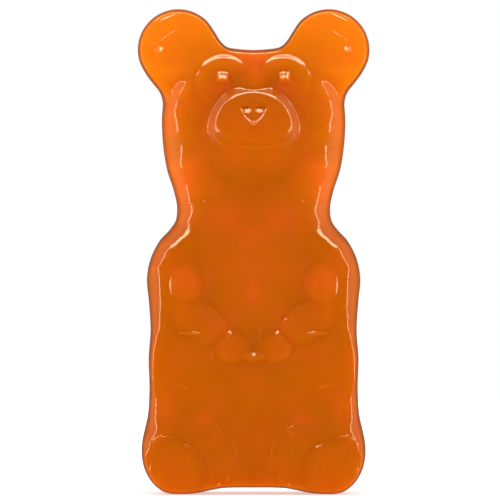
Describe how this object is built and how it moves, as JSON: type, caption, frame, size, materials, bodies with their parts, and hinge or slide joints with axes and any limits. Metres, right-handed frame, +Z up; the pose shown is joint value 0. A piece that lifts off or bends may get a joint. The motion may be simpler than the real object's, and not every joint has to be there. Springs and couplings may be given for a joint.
{
  "type": "giant gummy bear",
  "caption": "Large moulded bear of orange fruit gel, standing upright, with round upright ears, a domed muzzle, arms folded over the belly and flat soles.",
  "frame": {"origin": "on the floor under the middle of the bear, halfway between its foremost and hindmost points", "axes": "+Z up from the soles to the ears, -Y out of the face, X from ear to ear, mirror plane X = 0"},
  "size_m": [0.1158, 0.0885, 0.2415],
  "materials": {
    "orange_gel": "wet-looking, smooth, translucent orange fruit gel, lighter and yellower where it is thin"
  },
  "bodies": {
    "root": {"gummy_bear": "orange_gel"}
  },
  "joints": []
}
